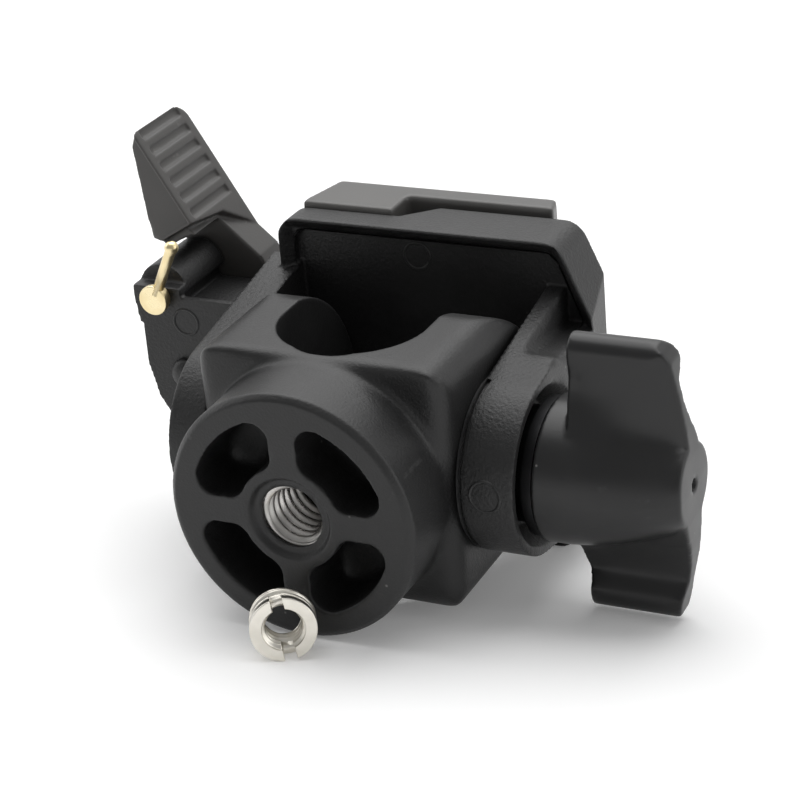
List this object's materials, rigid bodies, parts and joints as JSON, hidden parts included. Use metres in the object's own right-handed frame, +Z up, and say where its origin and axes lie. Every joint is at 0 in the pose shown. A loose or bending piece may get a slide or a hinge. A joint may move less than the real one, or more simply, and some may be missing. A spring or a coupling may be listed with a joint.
{
  "type": "monopod tilt head",
  "caption": "Tilt head for a monopod: a round mounting disc and block, a forked quick release platform with a cam lever, a winged lock knob and a loose thread reducer.",
  "frame": {"origin": "centre of the base thread's mouth, on the round mounting face", "axes": "+X along the tilt axis towards the knob, +Z up as the head lies on the floor, so the base thread opens towards -Y"},
  "size_m": [0.0959, 0.0737, 0.0647],
  "materials": {
    "cast_black": "die-cast aluminium under a fine satin black powder coat",
    "knob_plastic": "smooth satin black moulded plastic",
    "lever_grey": "die-cast aluminium with a warm dark grey satin paint",
    "steel": "machined bright steel",
    "brass": "pale polished brass",
    "nickel": "turned steel with a warm nickel plating",
    "nylon": "dark slippery nylon",
    "rubber": "ribbed black rubber"
  },
  "bodies": {
    "base": {"base_casting": "cast_black", "thread_insert": "steel"},
    "platform": {"fork_platform": "cast_black", "tilt_bolt": "steel", "friction_washer_left": "nylon", "friction_washer_right": "nylon", "thrust_washer": "steel", "lever_pivot_pin": "steel", "lever_washer": "nylon", "lever_clip": "steel", "lever_spring": "steel", "housing_screw": "steel", "camera_plate": "cast_black", "plate_pads": "rubber"},
    "knob": {"tilt_knob": "knob_plastic", "knob_insert": "brass"},
    "lever": {"release_lever": "lever_grey"},
    "catch": {"safety_catch_pin": "brass", "safety_catch_rod": "brass", "catch_clip": "steel"},
    "screw": {"camera_screw": "steel", "screw_ring": "steel", "screw_clip": "steel"},
    "reducer": {"thread_reducer": "nickel"}
  },
  "joints": [
    {"name": "platform_tilt", "type": "hinge", "parent": "base", "child": "platform", "pos_m": [0, 0.02514, 0.00366], "axis": [1, 0, 0], "range_deg": [-90, 90]},
    {"name": "knob_turn", "type": "hinge", "parent": "platform", "child": "knob", "pos_m": [0.04, 0.02514, 0.00366], "axis": [1, 0, 0], "range_deg": [0, 270]},
    {"name": "lever_swing", "type": "hinge", "parent": "platform", "child": "lever", "pos_m": [-0.0305, 0.05286, 0.01174], "axis": [0, -0.9896, -0.1441], "range_deg": [0, 55], "stiffness_Nm_per_rad": 0.15, "springref_deg": -17.19},
    {"name": "catch_swing", "type": "hinge", "parent": "platform", "child": "catch", "pos_m": [-0.0397, 0.03752, 0.01996], "axis": [0, -0.9896, -0.1441], "range_deg": [-25, 60]},
    {"name": "camera_screw_turn", "type": "hinge", "parent": "platform", "child": "screw", "pos_m": [-0.00075, 0.0574, 0.00836], "axis": [0, 0.9896, 0.1441], "continuous": true},
    {"name": "reducer_slide", "type": "slide", "parent": "base", "child": "reducer", "axis": [0, -1, 0], "range_m": [0, 0.03]}
  ]
}
